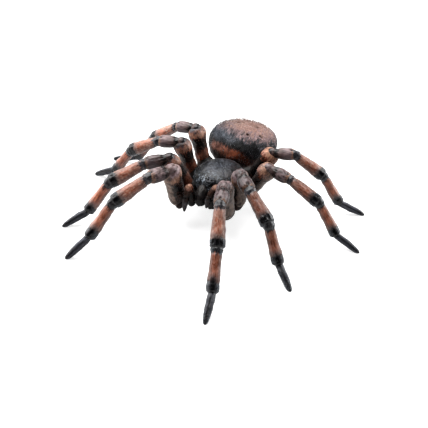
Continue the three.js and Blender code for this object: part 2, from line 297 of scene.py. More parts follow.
def rounded(stations):
    """The stations' outline with its corners cut round, and with round ends on the axis."""
    line = np.array(stations, float)
    mirrored = line * [1, -1]
    line = np.vstack([mirrored[1], line, mirrored[-2]])
    for _ in range(CORNER_CUTS):
        near = 0.75 * line[:-1] + 0.25 * line[1:]
        far = 0.25 * line[:-1] + 0.75 * line[1:]
        line = np.stack([near, far], axis=1).reshape(-1, 2)
    return line[line[:, 1] > 1e-6]


def even_rows(line, step):
    """The outline at even steps of its own length."""
    run = np.concatenate([[0], np.cumsum(np.hypot(*np.diff(line, axis=0).T))])
    rows = np.linspace(0, run[-1], max(8, int(run[-1] / step)))
    return np.interp(rows, run, line[:, 0]), np.interp(rows, run, line[:, 1])


def grid_faces(rows, around):
    """Faces of rows of points wrapped round, closed by a pole before the first and one after the last."""
    column = np.arange(around)
    after = (column + 1) % around
    row = np.arange(rows - 1)[:, None] * around
    here, beside = row + column, row + after
    quads = np.stack([here, beside, beside + around, here + around], axis=-1).reshape(-1, 4)
    first, last = rows * around, rows * around + 1
    start = [(first, b, a) for a, b in zip(column, after)]
    top = (rows - 1) * around
    end = [(top + a, top + b, last) for a, b in zip(column, after)]
    return quads.tolist() + start + end


class Skin:
    """Points of a mesh in the animal's frame, its faces and the numbers its paint reads at each point."""

    def __init__(self, points, faces, **marks):
        self.points = points
        self.faces = [tuple(map(int, face)) for face in faces]
        self.marks = marks

    def join(self, other):
        first = len(self.points)
        self.points = np.vstack([self.points, other.points])
        self.faces += [tuple(first + corner for corner in face) for face in other.faces]
        for name, values in self.marks.items():
            missing = np.zeros((len(other.points),) + values.shape[1:])
            self.marks[name] = np.concatenate([values, other.marks.get(name, missing)])
        return self


def put(name, data):
    """A new object in the scene."""
    thing = bpy.data.objects.new(name, data)
    bpy.context.scene.collection.objects.link(thing)
    return thing


def place(name, skin, material, nodes):
    """Makes the piece that stands for these nodes of the frame."""
    mesh = bpy.data.meshes.new(name)
    mesh.from_pydata(((skin.points + SHIFT) * MM).tolist(), [], skin.faces)
    mesh.shade_smooth()
    for label, values in skin.marks.items():
        vector = values.ndim == 2
        layer = mesh.attributes.new(label, "FLOAT_VECTOR" if vector else "FLOAT", "POINT")
        layer.data.foreach_set("vector" if vector else "value", values.astype(np.float32).ravel())
    mesh.materials.append(material)
    piece = put(name, mesh)
    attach(piece, "root")
    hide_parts(*nodes)


def hump(share, angle, at_share, at_angle, long, wide):
    """A soft round hump, 1 in its middle."""
    return np.exp(-(((share - at_share) / long) ** 2) - ((angle - at_angle) / wide) ** 2)


def bell(value, middle, wide):
    """A soft bell over a value, 1 in its middle."""
    return np.exp(-(((value - middle) / wide) ** 2))


def plateau(share, low, high, soft=0.06):
    """1 between two shares, 0 outside them."""
    rise = np.clip((share - low) / soft, 0, 1)
    fall = np.clip((high - share) / soft, 0, 1)
    return np.minimum(rise, fall)


def across_limb(matrix, direction):
    """How far a direction points along the level and the upper axis of a limb."""
    return (matrix[:3, :3].T @ direction)[1:]


def painted_light_round(matrix, angle, shade):
    """Painted light round a limb; what is over 1 is painted on the upper front and fades away from it."""
    if shade <= 1:
        return np.full_like(angle, shade)
    level, up = across_limb(matrix, UPPER_FRONT)
    lit = np.clip(PAINTED_LIGHT_AT_FLANK + PAINTED_LIGHT_RISE * (level * np.sin(angle) + up * np.cos(angle)), 0, 1)
    return 1 + (shade - 1) * lit


def limb(stations, length, matrix, seed, sculpt=None, depth=1.0, around=AROUND, step=ROW_STEP, shade=1.0,
         facing=None):
    """A turned limb along the X axis of its matrix, with moulded hair strokes and the sculpted relief.

    The relief and the flanks are laid out from the limb's crest or from the side facing a given direction.
    """
    along, radius = even_rows(rounded(stations), step)
    rows = len(along)
    angle = np.tile(np.linspace(-math.pi, math.pi, around, endpoint=False), rows)
    x = np.repeat(along, around)
    r = np.repeat(radius, around)
    share = x / length
    seat = np.random.default_rng(seed).uniform(-50, 50, 3)
    rest = np.stack([x, r * np.sin(angle), r * np.cos(angle)], axis=1) + seat
    level, up = across_limb(matrix, facing) if facing is not None else (0, 1)
    turned = (angle - math.atan2(level, up) + math.pi) % math.tau - math.pi
    relief, pit = sculpt(share, turned) if sculpt else (0, np.zeros_like(x))
    fade = np.clip(r / FULL_RELIEF_RADIUS, 0, 1)
    r = r + fade * (hair_relief(rest, seed) + relief)
    local = np.stack([x, r * np.sin(angle), r * np.cos(angle) * depth], axis=1)

    tips = np.array([[along[0], 0, 0], [along[-1], 0, 0]])
    local = np.vstack([local, tips])
    points = local @ matrix[:3, :3].T + matrix[:3, 3]
    return Skin(
        points,
        grid_faces(rows, around),
        along=np.append(share, tips[:, 0] / length),
        crown=np.append(np.cos(angle), [0, 0]),
        flank=np.append(np.sin(turned), [0, 0]),
        pit=np.append(pit, [0, 0]),
        rest=np.vstack([rest, tips + seat]),
        shade=np.append(painted_light_round(matrix, angle, shade), [shade, shade]),
    )


def aimed(start, end):
    """A matrix at start whose X axis points at end and whose Y axis lies level."""
    along = np.subtract(end, start)
    length = np.linalg.norm(along)
    along = along / length
    across = np.cross([0, 0, 1], along)
    across = across / np.linalg.norm(across)
    matrix = np.eye(4)
    matrix[:3, :3] = np.stack([along, across, np.cross(along, across)], axis=1)
    matrix[:3, 3] = start
    return matrix, length


# Relief of each leg segment, in millimetres, with the pits that are painted black


def sculpt_femur(share, angle):
    notch = hump(share, angle, 1.0, 0, 0.1, 0.3)
    return -0.35 * notch, 0.4 * notch


def sculpt_patella(share, angle):
    grooves = bell(np.abs(angle), 0.6, 0.16) * plateau(share, 0.18, 0.78)
    pit = hump(share, angle, 0.88, 0, 0.07, 0.28)
    nub = hump(share, angle, 0.32, 0, 0.035, 0.13)
    rim = bell(share, 0.98, 0.03)
    return -0.11 * grooves - 0.9 * pit + 0.25 * nub + 0.12 * rim, np.maximum(pit, 0.12 * grooves)


def sculpt_tibia(share, angle):
    collar = 0.16 * bell(share, 0.04, 0.03) - 0.16 * bell(share, 0.11, 0.03)
    fingers = sum(hump(share, angle, 0.9, turn, 0.1, 0.24) for turn in (-0.6, 0, 0.6))
    rim = bell(share, 0.97, 0.022)
    waist = bell(share, 0.78, 0.04)
    return collar - 0.22 * fingers + 0.18 * rim - 0.12 * waist, np.clip(1.5 * fingers, 0, 1)


def sculpt_metatarsus(share, angle):
    collar = 0.18 * bell(share, 0.05, 0.03) - 0.14 * bell(share, 0.13, 0.035)
    patch = hump(share, angle, 0.9, 0, 0.18, 0.36)
    waist = bell(share, 0.79, 0.04)
    rim = bell(share, 0.96, 0.025)
    return collar - 0.15 * waist + 0.12 * rim, np.clip(1.5 * patch, 0, 1)


def sculpt_tarsus(share, angle):
    groove = bell(angle, 0, 0.34) * plateau(share, 0.1, 1.0, 0.15)
    return -0.22 * groove, 0.85 * groove


SCULPTS = {
    "femur": sculpt_femur,
    "patella": sculpt_patella,
    "tibia": sculpt_tibia,
    "metatarsus": sculpt_metatarsus,
    "tarsus": sculpt_tarsus,
}

# Materials


def tone(paint):
    """A paint's sRGB hex code as linear RGBA."""
    parts = [int(paint[i : i + 2], 16) / 255 for i in (0, 2, 4)]
    return [p / 12.92 if p <= 0.04045 else ((p + 0.055) / 1.055) ** 2.4 for p in parts] + [1.0]


def add(tree, kind, inputs=None, **settings):
    """A node with its settings, each input linked to a socket or set to a paint or another value."""
    node = tree.nodes.new(kind)
    for key, value in settings.items():
        setattr(node, key, value)
    for key, value in (inputs or {}).items():
        if isinstance(value, bpy.types.NodeSocket):
            tree.links.new(value, node.inputs[key])
        else:
            node.inputs[key].default_value = tone(value) if isinstance(value, str) else value
    return node


def math_node(tree, operation, a, b):
    return add(tree, "ShaderNodeMath", {0: a, 1: b}, operation=operation).outputs[0]


def plus(tree, a, b):
    return math_node(tree, "ADD", a, b)


def times(tree, a, b):
    return math_node(tree, "MULTIPLY", a, b)


def ranged(tree, value, low, high, to_low=0.0, to_high=1.0):
    """A value's share of the way from low to high, as a number between two others."""
    inputs = {"Value": value, "From Min": low, "From Max": high, "To Min": to_low, "To Max": to_high}
    return add(tree, "ShaderNodeMapRange", inputs).outputs["Result"]


def mixed(tree, factor, a, b):
    """Paint b over paint a."""
    node = add(tree, "ShaderNodeMix", {0: factor, 6: a, 7: b}, data_type="RGBA")
    return node.outputs[2]


def mark(tree, name, output="Fac"):
    """One of the numbers that the skin carries at each point."""
    return add(tree, "ShaderNodeAttribute", attribute_name=name).outputs[output]


def noise_of(tree, vector, scale, detail=3.0):
    inputs = {"Vector": vector, "Scale": scale, "Detail": detail}
    return add(tree, "ShaderNodeTexNoise", inputs).outputs["Fac"]


def stretched(tree, vector, scale):
    return add(tree, "ShaderNodeMapping", {"Vector": vector, "Scale": scale}).outputs["Vector"]


def valued(tree, colour, value):
    """A paint made lighter or darker."""
    return add(tree, "ShaderNodeHueSaturation", {"Value": value, "Color": colour}).outputs["Color"]


def lightness(tree, colour):
    return add(tree, "ShaderNodeRGBToBW", {"Color": colour}).outputs["Val"]


BAND_START, BAND_END = -0.3, 1.3


def banded(tree, position, bands):
    """Painted bands: pairs of a place and a paint, running softly into each other."""
    ramp = tree.nodes.new("ShaderNodeValToRGB")
    stops = ramp.color_ramp.elements
    span = BAND_END - BAND_START
    while len(stops) < len(bands):
        stops.new(1.0)
    for stop, (at, paint) in zip(stops, bands):
        stop.position = (at - BAND_START) / span
        stop.color = tone(paint)
    tree.links.new(ranged(tree, position, BAND_START, BAND_END), ramp.inputs["Fac"])
    return ramp.outputs["Color"]


def finish(tree, colour, height, roughness, shine=0.3, nap=0.6):
    """The satin varnish over the paint, with fine brush strokes and a short nap that pales the edges."""
    strokes = {"Strength": BRUSH_STRENGTH, "Distance": BRUSH_DEPTH, "Height": height}
    bump = add(tree, "ShaderNodeBump", strokes)
    inputs = {"Base Color": colour, "Roughness": roughness, "Normal": bump.outputs["Normal"]}
    fuzz = {"Sheen Weight": nap, "Sheen Roughness": NAP_ROUGHNESS, "Sheen Tint": NAP}
    shader = add(tree, "ShaderNodeBsdfPrincipled", {**inputs, **fuzz, "Specular IOR Level": shine})
    add(tree, "ShaderNodeOutputMaterial", {"Surface": shader.outputs["BSDF"]})


def new_material(name):
    material = bpy.data.materials.new(name)
    material.use_nodes = True
    material.node_tree.nodes.clear()
    return material


def limb_paint(name, bands, belly=None, lean=0.0, mottle=None, bloom=0.0, speckle=0.0, dust_and_highlight=0.4, wander=0.16,
               rim=None, gloss=0.22, shine=0.3, nap=0.6):
    """Bands with a wandering edge along a limb, strokes, and dust with a painted highlight on the crest.

    Over the bands lie a belly, which leans to the hind flank and whose paleness partly paints light
    bounced up from the floor, a painted rim light, which greys the light bands along both flanks, and the
    blotches of a mottle. Speckle dots the light bands, and bloom, a painted sheen, pales the dark ones.
    The limb is painted darker beneath as shade, and the shade mark paints some legs lighter or darker
    and lights their upper front.
    """
    material = new_material(name)
    tree = material.node_tree
    rest = mark(tree, "rest", "Vector")
    crown = mark(tree, "crown")
    flank = mark(tree, "flank")
    wobble = noise_of(tree, rest, 0.55, 2.0)
    strokes = noise_of(tree, stretched(tree, rest, (0.35, 1.7, 1.7)), 1.0, 4.0)
    grain = noise_of(tree, stretched(tree, rest, (1.2, 3.5, 3.5)), 1.0, 2.0)

    drift = ranged(tree, wobble, 0, 1, -wander / 2, wander / 2)
    ragged = ranged(tree, strokes, 0, 1, -wander / 2, wander / 2)
    position = plus(tree, plus(tree, mark(tree, "along"), drift), ragged)
    colour = banded(tree, position, bands)
    # A pale belly leaning to the hind flank; its paleness partly paints light bounced up from the floor
    if belly:
        turned = plus(tree, crown, times(tree, flank, -lean))
        under = ranged(tree, plus(tree, turned, wobble), 0.15, -0.3, 0.0, 0.75)
        colour = mixed(tree, under, colour, belly)
    # Painted rim light: the light bands are greyed towards both flanks as seen from the upper front
    if rim:
        edges = ranged(tree, times(tree, flank, flank), 0.1, 0.75)
        pale = ranged(tree, lightness(tree, colour), 0.015, 0.05, 0.0, 0.85)
        edges = times(tree, edges, pale)
        colour = mixed(tree, edges, colour, rim)
    if mottle:
        blotches = ranged(tree, noise_of(tree, rest, 0.6, 4.0), 0.48, 0.62)
        colour = mixed(tree, times(tree, blotches, 0.75), colour, mottle)

    # Painted light: the shade mark paints some legs lighter or darker and lights their upper front
    shade = mark(tree, "shade")
    depth = times(tree, ranged(tree, strokes, 0.36, 0.66, 0.55, 1.35), shade)
    # Painted shade: darker beneath the limb, a little lighter on its crest
    depth = times(tree, depth, ranged(tree, crown, -0.6, 0.9, 0.7, 1.1))
    colour = valued(tree, colour, depth)
    light = lightness(tree, colour)
    # Dust with a painted highlight on the crest of the limb, stronger on legs painted lighter
    crest = times(tree, ranged(tree, grain, 0.4, 0.7), ranged(tree, crown, 0.0, 1.0))
    crest = times(tree, crest, ranged(tree, light, 0.01, 0.12, 0.05, dust_and_highlight))
    crest = times(tree, crest, ranged(tree, shade, 0.5, 2.0, 0.4, 2.0))
    colour = mixed(tree, crest, colour, DUST_AND_HIGHLIGHT)
    if speckle:
        spots = ranged(tree, noise_of(tree, rest, 1.0, 3.0), 0.53, 0.64)
        spots = times(tree, spots, ranged(tree, light, 0.03, 0.1, 0.0, speckle))
        colour = mixed(tree, times(tree, spots, shade), colour, DUST_AND_HIGHLIGHT)
    # Bloom: a painted blue-grey sheen that pales the dark bands, most towards their flanks
    if bloom:
        sides = ranged(tree, times(tree, flank, flank), 0.1, 0.7, 0.2, 1.0)
        dark = ranged(tree, light, 0.0, 0.04, bloom, 0.0)
        worn = times(tree, ranged(tree, grain, 0.36, 0.6), dark)
        colour = mixed(tree, times(tree, worn, sides), colour, PALE_HAIR_AND_SHEEN)
    colour = mixed(tree, mark(tree, "pit"), colour, BLACK)

    height = plus(tree, strokes, times(tree, grain, 0.5))
    satin = ranged(tree, light, 0.0, 0.1, gloss, gloss + 0.18)
    roughness = plus(tree, satin, ranged(tree, grain, 0.3, 0.7, -0.05, 0.08))
    finish(tree, colour, height, roughness, shine, nap)
    return material


def leg_paints():
    """The paint of each leg segment, from the hip outwards."""
    recipes = {
        "coxa": dict(bands=[(0.0, BLACK), (0.8, BLACK), (1.0, DARK_BROWN)], gloss=0.4, shine=0.1, nap=0.1),
        # The dark root half of these femurs partly paints the shade between the front legs
        "femur_front": dict(bands=[
            (-0.1, SOOT), (0.06, DARK_BROWN), (0.3, DARK_BROWN), (0.45, BLACK), (0.66, BLACK),
            (0.76, DARK_BROWN), (0.86, TAN), (0.98, MAUVE),
        ], belly=BELLY_AND_BOUNCE_LIGHT, lean=0.9, mottle=DARK_BROWN, nap=0.3),
        "femur_right": dict(bands=[
            (0.0, RUST), (0.36, RUST), (0.5, BLACK), (0.72, BLACK), (0.77, DARK_BROWN), (0.82, ORANGE),
            (0.89, TAN), (0.97, CLAY), (1.03, SLATE),
        ], belly=BELLY_AND_BOUNCE_LIGHT, mottle=DARK_BROWN, wander=0.26, nap=0.3),
        "femur_left": dict(bands=[
            (0.0, BLACK), (0.62, BLACK), (0.74, DARK_BROWN), (0.82, RUST), (0.89, CLAY), (1.0, TAN),
        ], belly=BELLY_AND_BOUNCE_LIGHT, mottle=DARK_BROWN, wander=0.34, nap=0.3),
        "femur_rear": dict(bands=[
            (0.0, BLACK), (0.74, BLACK), (0.8, DARK_BROWN), (0.86, RUST), (0.91, CLAY), (0.97, TAN),
        ], dust_and_highlight=0.15, wander=0.3, shine=0.1, nap=0.1),
        "patella": dict(bands=[
            (-0.1, CHARCOAL), (0.06, GREY_BROWN), (0.15, BLACK), (0.23, SOOT), (0.38, GREY_BROWN),
            (0.7, MAUVE), (0.86, MAUVE), (0.95, TAN), (1.02, SOOT),
        ]),
        "patella_front": dict(bands=[
            (0.0, MAUVE), (0.2, GREY_BROWN), (0.38, SOOT), (0.54, MAUVE), (0.82, MAUVE), (0.92, TAN),
            (0.98, TAN), (1.03, SOOT),
        ], mottle=DARK_BROWN),
        "tibia": dict(bands=[
            (0.0, SOOT), (0.05, SLATE), (0.1, CHARCOAL), (0.18, CLAY), (0.4, ORANGE), (0.64, ORANGE),
            (0.76, GREY_BROWN), (0.83, SOOT), (0.92, CHARCOAL), (1.02, SOOT),
        ], bloom=0.35, speckle=0.3, dust_and_highlight=0.3, rim=ROSE, nap=1.0, gloss=0.15),
        "metatarsus": dict(bands=[
            (0.0, BLACK), (0.12, SOOT), (0.23, ORANGE), (0.4, RUST), (0.58, ORANGE), (0.7, GREY_BROWN),
            (0.8, SOOT), (0.92, CHARCOAL), (1.02, SOOT),
        ], bloom=0.35, dust_and_highlight=0.2, rim=ROSE, nap=1.0, gloss=0.15),
        "tarsus": dict(bands=[
            (0.0, SOOT), (0.14, SLATE), (0.55, SLATE), (0.8, CHARCOAL), (1.0, SOOT),
        ], bloom=0.5, dust_and_highlight=0.0, wander=0.3, shine=0.2, nap=0.5),
    }
    return {kind: limb_paint(f"paint_{kind}", **recipe) for kind, recipe in recipes.items()}


def palp_paint():
    # Black over the first limb, which also paints the shade between the palp and the jaws
    knee = [(0.27, BLACK), (0.32, RUST), (0.37, TAN), (0.42, CLAY), (0.46, DARK_BROWN), (0.6, DARK_BROWN)]
    bands = [(0.0, BLACK), *knee, (0.67, BLACK), (0.82, SLATE), (1.0, SOOT)]
    return limb_paint("paint_palp", bands, mottle=DARK_BROWN, dust_and_highlight=0.3, wander=0.14, shine=0.15, nap=0.1)


def jaw_paint():
    bands = [(0.0, BLACK), (0.4, BLACK), (0.75, SOOT), (1.0, BLACK)]
    return limb_paint("paint_jaw", bands, dust_and_highlight=0.1, gloss=0.3, shine=0.18, nap=0.1)


def fang_paint():
    return limb_paint("paint_fang", [(0.0, BLACK), (0.6, DARK_BROWN), (1.0, BLACK)], gloss=0.15, dust_and_highlight=0.0)


def abdomen_paint():
    """Rose on the back, running over grey into black and dark brown, with a rust stripe across the front."""
    material = new_material("paint_abdomen")
    tree = material.node_tree
    rest = mark(tree, "rest", "Vector")
    side = mark(tree, "side")
    strokes = noise_of(tree, stretched(tree, rest, (2.0, 0.5, 0.5)), 1.0, 4.0)
    blotches = noise_of(tree, rest, 0.28, 3.0)
    grain = noise_of(tree, stretched(tree, rest, (3.0, 1.2, 1.2)), 1.0, 3.0)
    drift = ranged(tree, blotches, 0, 1, -0.4, 0.4)
    wander = plus(tree, ranged(tree, strokes, 0, 1, -0.5, 0.5), drift)
    height = plus(tree, mark(tree, "height"), wander)
    lower = [(-0.6, DARK_BROWN), (-0.42, DARK_BROWN), (-0.26, BLACK), (0.18, BLACK)]
    middle = [(0.3, SOOT), (0.42, SLATE), (0.52, GREY_BROWN)]
    colour = banded(tree, height, [*lower, *middle, (0.64, MAUVE), (0.78, ROSE)])
    bloom = plus(tree, mark(tree, "bloom"), wander)
    colour = mixed(tree, ranged(tree, bloom, 0.1, 0.9, 0.0, 0.7), colour, BLUE_GREY)

    stripe = plus(tree, mark(tree, "patch"), times(tree, wander, 1.6))
    rust = mixed(tree, ranged(tree, side, -0.5, -0.05), CLAY, ORANGE)
    rust = mixed(tree, ranged(tree, side, -0.2, 0.25), rust, RUST)
    rust = mixed(tree, ranged(tree, side, 0.1, 0.6, 0.0, 0.35), rust, DARK_BROWN)
    colour = mixed(tree, ranged(tree, stripe, 0.3, 0.9), colour, rust)

    freckles = ranged(tree, grain, 0.34, 0.62, 0.55, 1.25)
    # Painted shade: the abdomen darker towards its right side
    painted_side_shade = ranged(tree, plus(tree, side, wander), -0.7, 0.25, 0.62, 1.1)
    colour = valued(tree, colour, times(tree, freckles, painted_side_shade))
    upper = ranged(tree, mark(tree, "height"), 0.3, 0.8)
    crest = times(tree, ranged(tree, strokes, 0.52, 0.7), upper)
    colour = mixed(tree, times(tree, crest, 0.35), colour, DUST_AND_HIGHLIGHT)
    hairs = mixed(tree, upper, SLATE, DUST_AND_HIGHLIGHT)
    colour = mixed(tree, mark(tree, "stroke"), colour, hairs)
    colour = mixed(tree, mark(tree, "pit"), colour, DARK_BROWN)
    relief = plus(tree, strokes, grain)
    finish(tree, colour, relief, ranged(tree, grain, 0.3, 0.7, 0.4, 0.6), shine=0.08, nap=1.0)
    return material


def shield_paint():
    """Slate, black towards the rim, with pale radial strokes, a blue-grey painted sheen and painted glints.
    """
    material = new_material("paint_shield")
    tree = material.node_tree
    rest = mark(tree, "rest", "Vector")
    grain = noise_of(tree, rest, 1.5, 5.0)
    cloud = noise_of(tree, rest, 0.3, 3.0)
    height = plus(tree, mark(tree, "height"), ranged(tree, cloud, 0.3, 0.7, -0.3, 0.3))
    colour = banded(tree, height, [(0.1, BLACK), (0.6, BLACK), (0.8, SOOT), (1.1, SLATE)])
    side = mark(tree, "side")
    # Painted shade darkens the sides, and a blue-grey painted sheen lies on the upper middle
    middle = ranged(tree, times(tree, side, side), 0.03, 0.4, 1.0, 0.35)
    depth = times(tree, ranged(tree, grain, 0.3, 0.7, 0.5, 1.4), middle)
    colour = valued(tree, colour, depth)
    upper = times(tree, ranged(tree, mark(tree, "height"), 0.3, 0.95), middle)
    bloom = times(tree, ranged(tree, grain, 0.45, 0.68), upper)
    colour = mixed(tree, times(tree, bloom, 0.45), colour, BLUE_GREY)
    warm = times(tree, ranged(tree, side, 0.1, 0.8), ranged(tree, cloud, 0.35, 0.6))
    colour = mixed(tree, times(tree, warm, 0.6), colour, DARK_BROWN)
    # Painted glints: pale blue specks across the front of the shield, more on its right
    speckle = ranged(tree, noise_of(tree, rest, 1.1, 4.0), 0.54, 0.64)
    colour = mixed(tree, times(tree, speckle, mark(tree, "painted_glints")), colour, PALE_HAIR_AND_SHEEN)
    colour = mixed(tree, mark(tree, "stroke"), colour, PALE_HAIR_AND_SHEEN)
    colour = mixed(tree, mark(tree, "pit"), colour, BLACK)
    relief = times(tree, grain, 2.0)
    finish(tree, colour, relief, ranged(tree, grain, 0.3, 0.7, 0.25, 0.45), shine=0.22, nap=0.15)
    return material


def floor_paint():
    """White paper, which the camera sees a little overexposed."""
    material = new_material("floor_white")
    tree = material.node_tree
    paper = add(tree, "ShaderNodeBsdfDiffuse", {"Color": (FLOOR_WHITE, FLOOR_WHITE, FLOOR_WHITE, 1)})
    seen = add(tree, "ShaderNodeLightPath").outputs["Is Camera Ray"]
    position = add(tree, "ShaderNodeNewGeometry").outputs["Position"]
    reach = add(tree, "ShaderNodeVectorMath", {0: position}, operation="LENGTH")
    bright = ranged(tree, reach.outputs["Value"], *FLOOR_FADE, FLOOR_GLOW, 1.0)
    glow = add(tree, "ShaderNodeEmission", {"Strength": times(tree, seen, bright)})
    both = add(tree, "ShaderNodeAddShader", {0: paper.outputs[0], 1: glow.outputs[0]})
    add(tree, "ShaderNodeOutputMaterial", {"Surface": both.outputs[0]})
    return material


# Legs


def side_of(side, sideways):
    """A distance or a mark from the middle outwards, on the left or mirrored to the right."""
    return sideways if side == "left" else -sideways


def leg_frames(side, number):
    """Matrix and length of each segment of a leg, from the hip outwards."""
    hip, swing, rise = STANCE[side][number]
    start = np.array([side_of(side, hip[0]), -hip[1], hip[2]])
    frames = []
    for i, (length, _) in enumerate(LEG_SEGMENTS.values()):
        length = length * LEG_PAIRS[number]["scale"]
        if i < len(rise):
            slope = math.radians(rise[i])
        else:
            slope = math.asin((FOOT_HEIGHT - start[2]) / length)
        heading = math.radians(-swing[i] if side == "left" else 180 + swing[i])
        level = math.cos(slope)
        along = np.array([math.cos(heading) * level, math.sin(heading) * level, math.sin(slope)])
        matrix, _ = aimed(start, start + along)
        frames.append((matrix, length))
        start = start + along * length
    return frames


def make_coxa(side, number, seed, paint):
    sideways, forward = LEG_PAIRS[number]["coxa_root"]
    root = (side_of(side, sideways), -forward, COXA_ROOT_HEIGHT)
    hip = leg_frames(side, number)[0][0][:3, 3]
    matrix, length = aimed(root, hip)
    stations = [(share * length, half) for share, half in COXA_PROFILE]
    skin = limb(stations, length, matrix, seed, depth=COXA_DEPTH)
    name = f"leg_{side}_{number + 1}_coxa"
    place(f"{name}_skin", skin, paint, [name])


def paint_kind(kind, side, number):
    """The front femurs and the left second one end in mauve, and the left rear one is black up to its knee.

    The patellae of the front pair and of the left second and third leg are mottled.
    """
    if kind == "femur" and (number == 0 or (side, number) == ("left", 1)):
        return "femur_front"
    if kind == "femur":
        return "femur_rear" if (side, number) == ("left", 3) else f"femur_{side}"
    mottled = number == 0 or (side == "left" and number < 3)
    return "patella_front" if kind == "patella" and mottled else kind


def make_leg(side, number, seed, paints):
    make_coxa(side, number, seed, paints["coxa"])
    pair = LEG_PAIRS[number]
    for i, (kind, (matrix, length)) in enumerate(zip(LEG_SEGMENTS, leg_frames(side, number))):
        girth, depth, knob = pair["femur"] if kind == "femur" else (pair["girth"], 1, 1)
        stations = []
        for share, half in LEG_SEGMENTS[kind][1]:
            swell = knob if share > KNOB_START else 1
            stations.append((share * length, half * girth * swell))
        shade = LEG_PAINTED_LIGHT[kind][side][number]
        facing = UPPER_FRONT if kind in PATCHED else None
        skin = limb(stations, length, matrix, seed + 1 + i, SCULPTS[kind], depth, shade=shade, facing=facing)
        skin.points[:, 2] = np.maximum(skin.points[:, 2], 0)  # the floor cuts the soles flat
        skin.marks["flank"] = side_of(side, skin.marks["flank"])
        paint = paints[paint_kind(kind, side, number)]
        name = f"leg_{side}_{number + 1}_{kind}"
        place(f"{name}_skin", skin, paint, [name])


# Body


def unit_ball(rows, around):
    """Points of a ball with its poles up and down, and its faces."""
    tilt = np.linspace(math.pi, 0, rows + 2)[1:-1]
    turn = np.linspace(0, math.tau, around, endpoint=False)
    tilt, turn = np.meshgrid(tilt, turn, indexing="ij")
    ball = np.stack([np.sin(tilt) * np.cos(turn), np.sin(tilt) * np.sin(turn), np.cos(tilt)], axis=-1)
    ball = np.vstack([ball.reshape(-1, 3), [[0, 0, -1], [0, 0, 1]]])
    return ball, grid_faces(rows, around)


def unit_rows(vectors):
    return vectors / np.linalg.norm(vectors, axis=1)[:, None]


STROKE_TAPER = [(0, 0.35), (0.25, 1), (0.6, 0.8), (1.0, 0.12)]  # shares of a stroke's length and radius
STROKE_SIDES = 4


def strokes_on(points, outward, way, stroke, seed):
    """Tapered hair strokes that lie on the skin and lift a little at their tips, as one mesh.

    Gives its points, its faces and the number of points of one stroke.
    """
    rng = np.random.default_rng(seed)
    along = unit_rows(way - outward * (way * outward).sum(axis=1)[:, None])
    across = np.cross(outward, along)
    reach = stroke["length"] * rng.uniform(0.6, 1.2, len(points))
    thick = stroke["radius"] * rng.uniform(0.7, 1.2, len(points))
    lift = stroke["radius"] * rng.uniform(-0.2, 0.5, len(points))
    turns = np.linspace(0, math.tau, STROKE_SIDES, endpoint=False)
    rows = []
    for share, width in STROKE_TAPER:
        middle = points + along * (share * reach)[:, None] + outward * (lift * (1 + share))[:, None]
        for turn in turns:
            offset = across * math.cos(turn) + outward * math.sin(turn)
            rows.append(middle + offset * (thick * width)[:, None])
    made = np.stack(rows, axis=1).reshape(-1, 3)
    quads = []
    for first in range(0, len(rows) - STROKE_SIDES, STROKE_SIDES):
        for column in range(STROKE_SIDES):
            here = first + column
            beside = first + (column + 1) % STROKE_SIDES
            quads.append((here, beside, beside + STROKE_SIDES, here + STROKE_SIDES))
    size = len(rows)
    faces = (np.array(quads)[None] + (np.arange(len(points)) * size)[:, None, None]).reshape(-1, 4)
    return made, faces, size


def abdomen_points(unit):
    """The egg's points; its left side hangs a little."""
    swell = 1 + ABDOMEN_SWELL * unit[:, 1]
    upper = ABDOMEN["top"] * (1 - ABDOMEN_SLOPE * unit[:, 1])
    half = np.where(unit[:, 2] > 0, upper, ABDOMEN["bottom"] * swell)
    across = unit[:, 0] * ABDOMEN["half_width"] * swell
    up = unit[:, 2] * half
    roll = math.radians(ABDOMEN_ROLL)
    x = across * math.cos(roll) + up * math.sin(roll)
    z = up * math.cos(roll) - across * math.sin(roll)
    return ABDOMEN_PLACE + np.stack([x, unit[:, 1] * ABDOMEN["half_length"], z], axis=1)


def abdomen_marks(unit):
    """Height up the painted bands, the rust stripe, the grey bloom on the right and the way across."""
    side = unit[:, 0]
    left_rise = ROSE_LEFT["rise"] * np.maximum(0, side - ROSE_LEFT["from"])
    right_drop = ROSE_RIGHT["drop"] * np.clip(-side, 0, ROSE_RIGHT["to"])
    height = unit @ ROSE_WAY + left_rise - right_drop
    middle = STRIPE["height"] - STRIPE["sag"] * np.maximum(0, side) ** 2
    across = np.clip((STRIPE["reach"] - np.abs(side - STRIPE["middle"])) / STRIPE["fade"], 0, 1)
    ahead = np.clip(-unit[:, 1] / STRIPE["ahead"], 0, 1)
    patch = bell(height, middle, STRIPE["half"]) * across * ahead
    rightward = np.clip((GREY_BLOOM["left"] - side) / GREY_BLOOM["fade"], 0, 1)
    bloom = plateau(height, GREY_BLOOM["low"], GREY_BLOOM["high"], GREY_BLOOM["soft"]) * rightward
    return {"height": height, "patch": patch, "bloom": bloom, "side": side}


